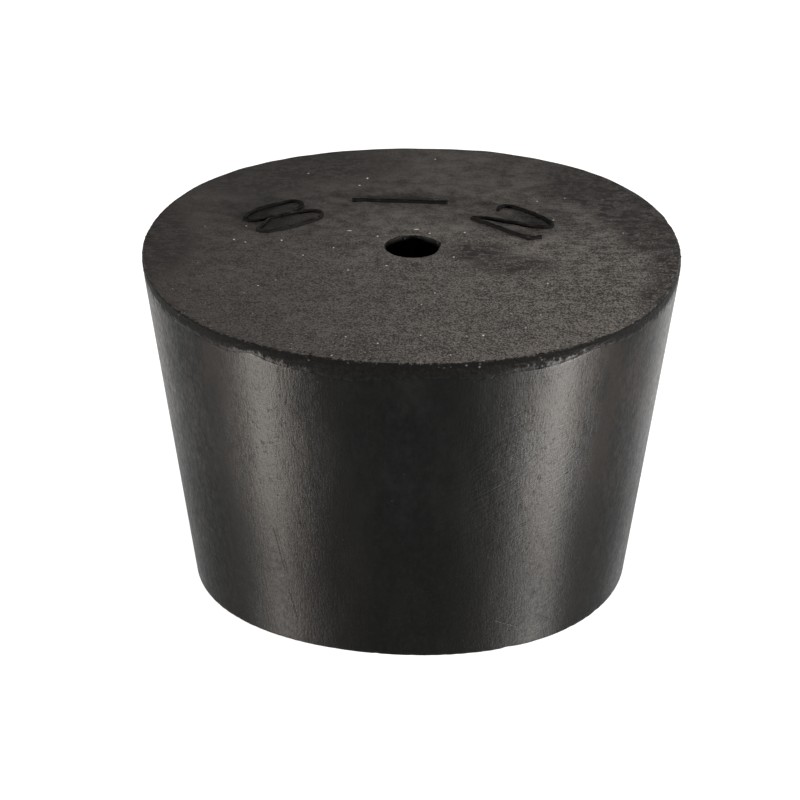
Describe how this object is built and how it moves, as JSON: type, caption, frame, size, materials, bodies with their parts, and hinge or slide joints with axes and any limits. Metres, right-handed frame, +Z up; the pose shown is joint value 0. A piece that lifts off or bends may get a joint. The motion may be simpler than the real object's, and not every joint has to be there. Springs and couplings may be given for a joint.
{
  "type": "rubber stopper",
  "caption": "Tapered black rubber stopper with a hole right through it, to close the neck of a flask or bottle round a glass tube, with plain size figures on its top face.",
  "frame": {"origin": "middle of the narrow bottom face", "axes": "+Z up the stopper's axis, from the narrow face to the wide face; +Y from the middle towards the size figures"},
  "size_m": [0.0408, 0.0408, 0.0263],
  "materials": {
    "rubber": "satin"
  },
  "bodies": {
    "root": {"stopper": "rubber"}
  },
  "joints": []
}
